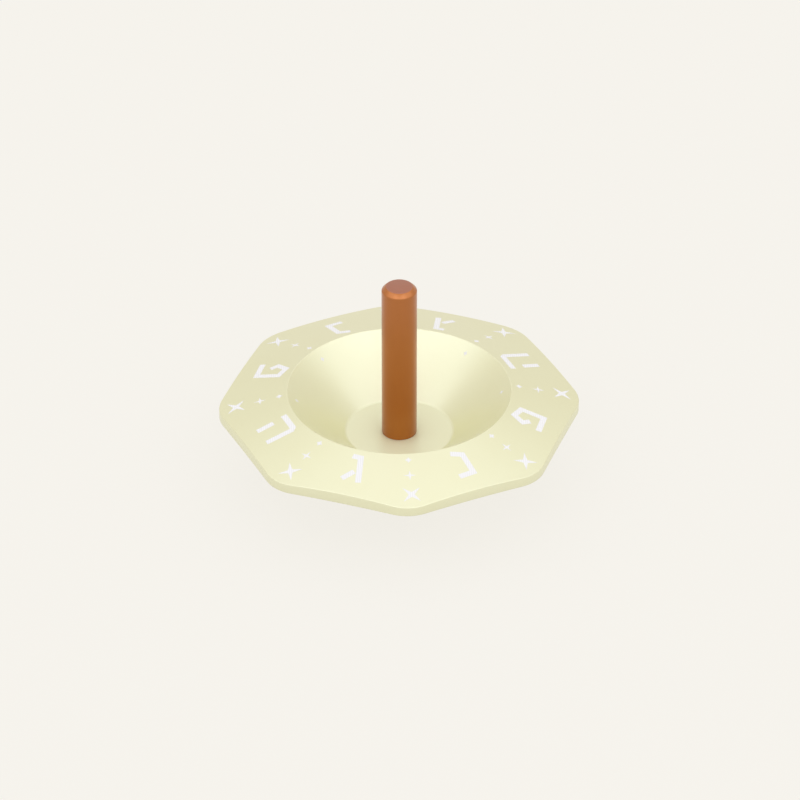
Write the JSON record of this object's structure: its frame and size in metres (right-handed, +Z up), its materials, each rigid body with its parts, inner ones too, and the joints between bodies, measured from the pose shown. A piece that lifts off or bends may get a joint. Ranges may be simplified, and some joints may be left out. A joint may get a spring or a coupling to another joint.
{
  "type": "dreidel",
  "caption": "Spinning-top game piece: an octagonal metal saucer with a conical bowl, a finger stem and a blunt spin tip.",
  "frame": {"origin": "middle of the flat under the spin tip, on the surface that the dreidel stands on", "axes": "+Z up along the stem, the axis that it spins about; two opposite rounded corners lie on X and two on Y"},
  "size_m": [0.0614, 0.0614, 0.0379],
  "materials": {
    "saucer_aluminium": "fine bead-blasted, pale lime anodised",
    "mark_white": "laser-bleached white, matte",
    "stem_aluminium": "satin, copper anodised",
    "screw_steel": "plain zinc-plated"
  },
  "bodies": {
    "root": {"saucer": "saucer_aluminium", "stem": "stem_aluminium", "spin_tip": "stem_aluminium", "headless_screw": "screw_steel"}
  },
  "joints": []
}
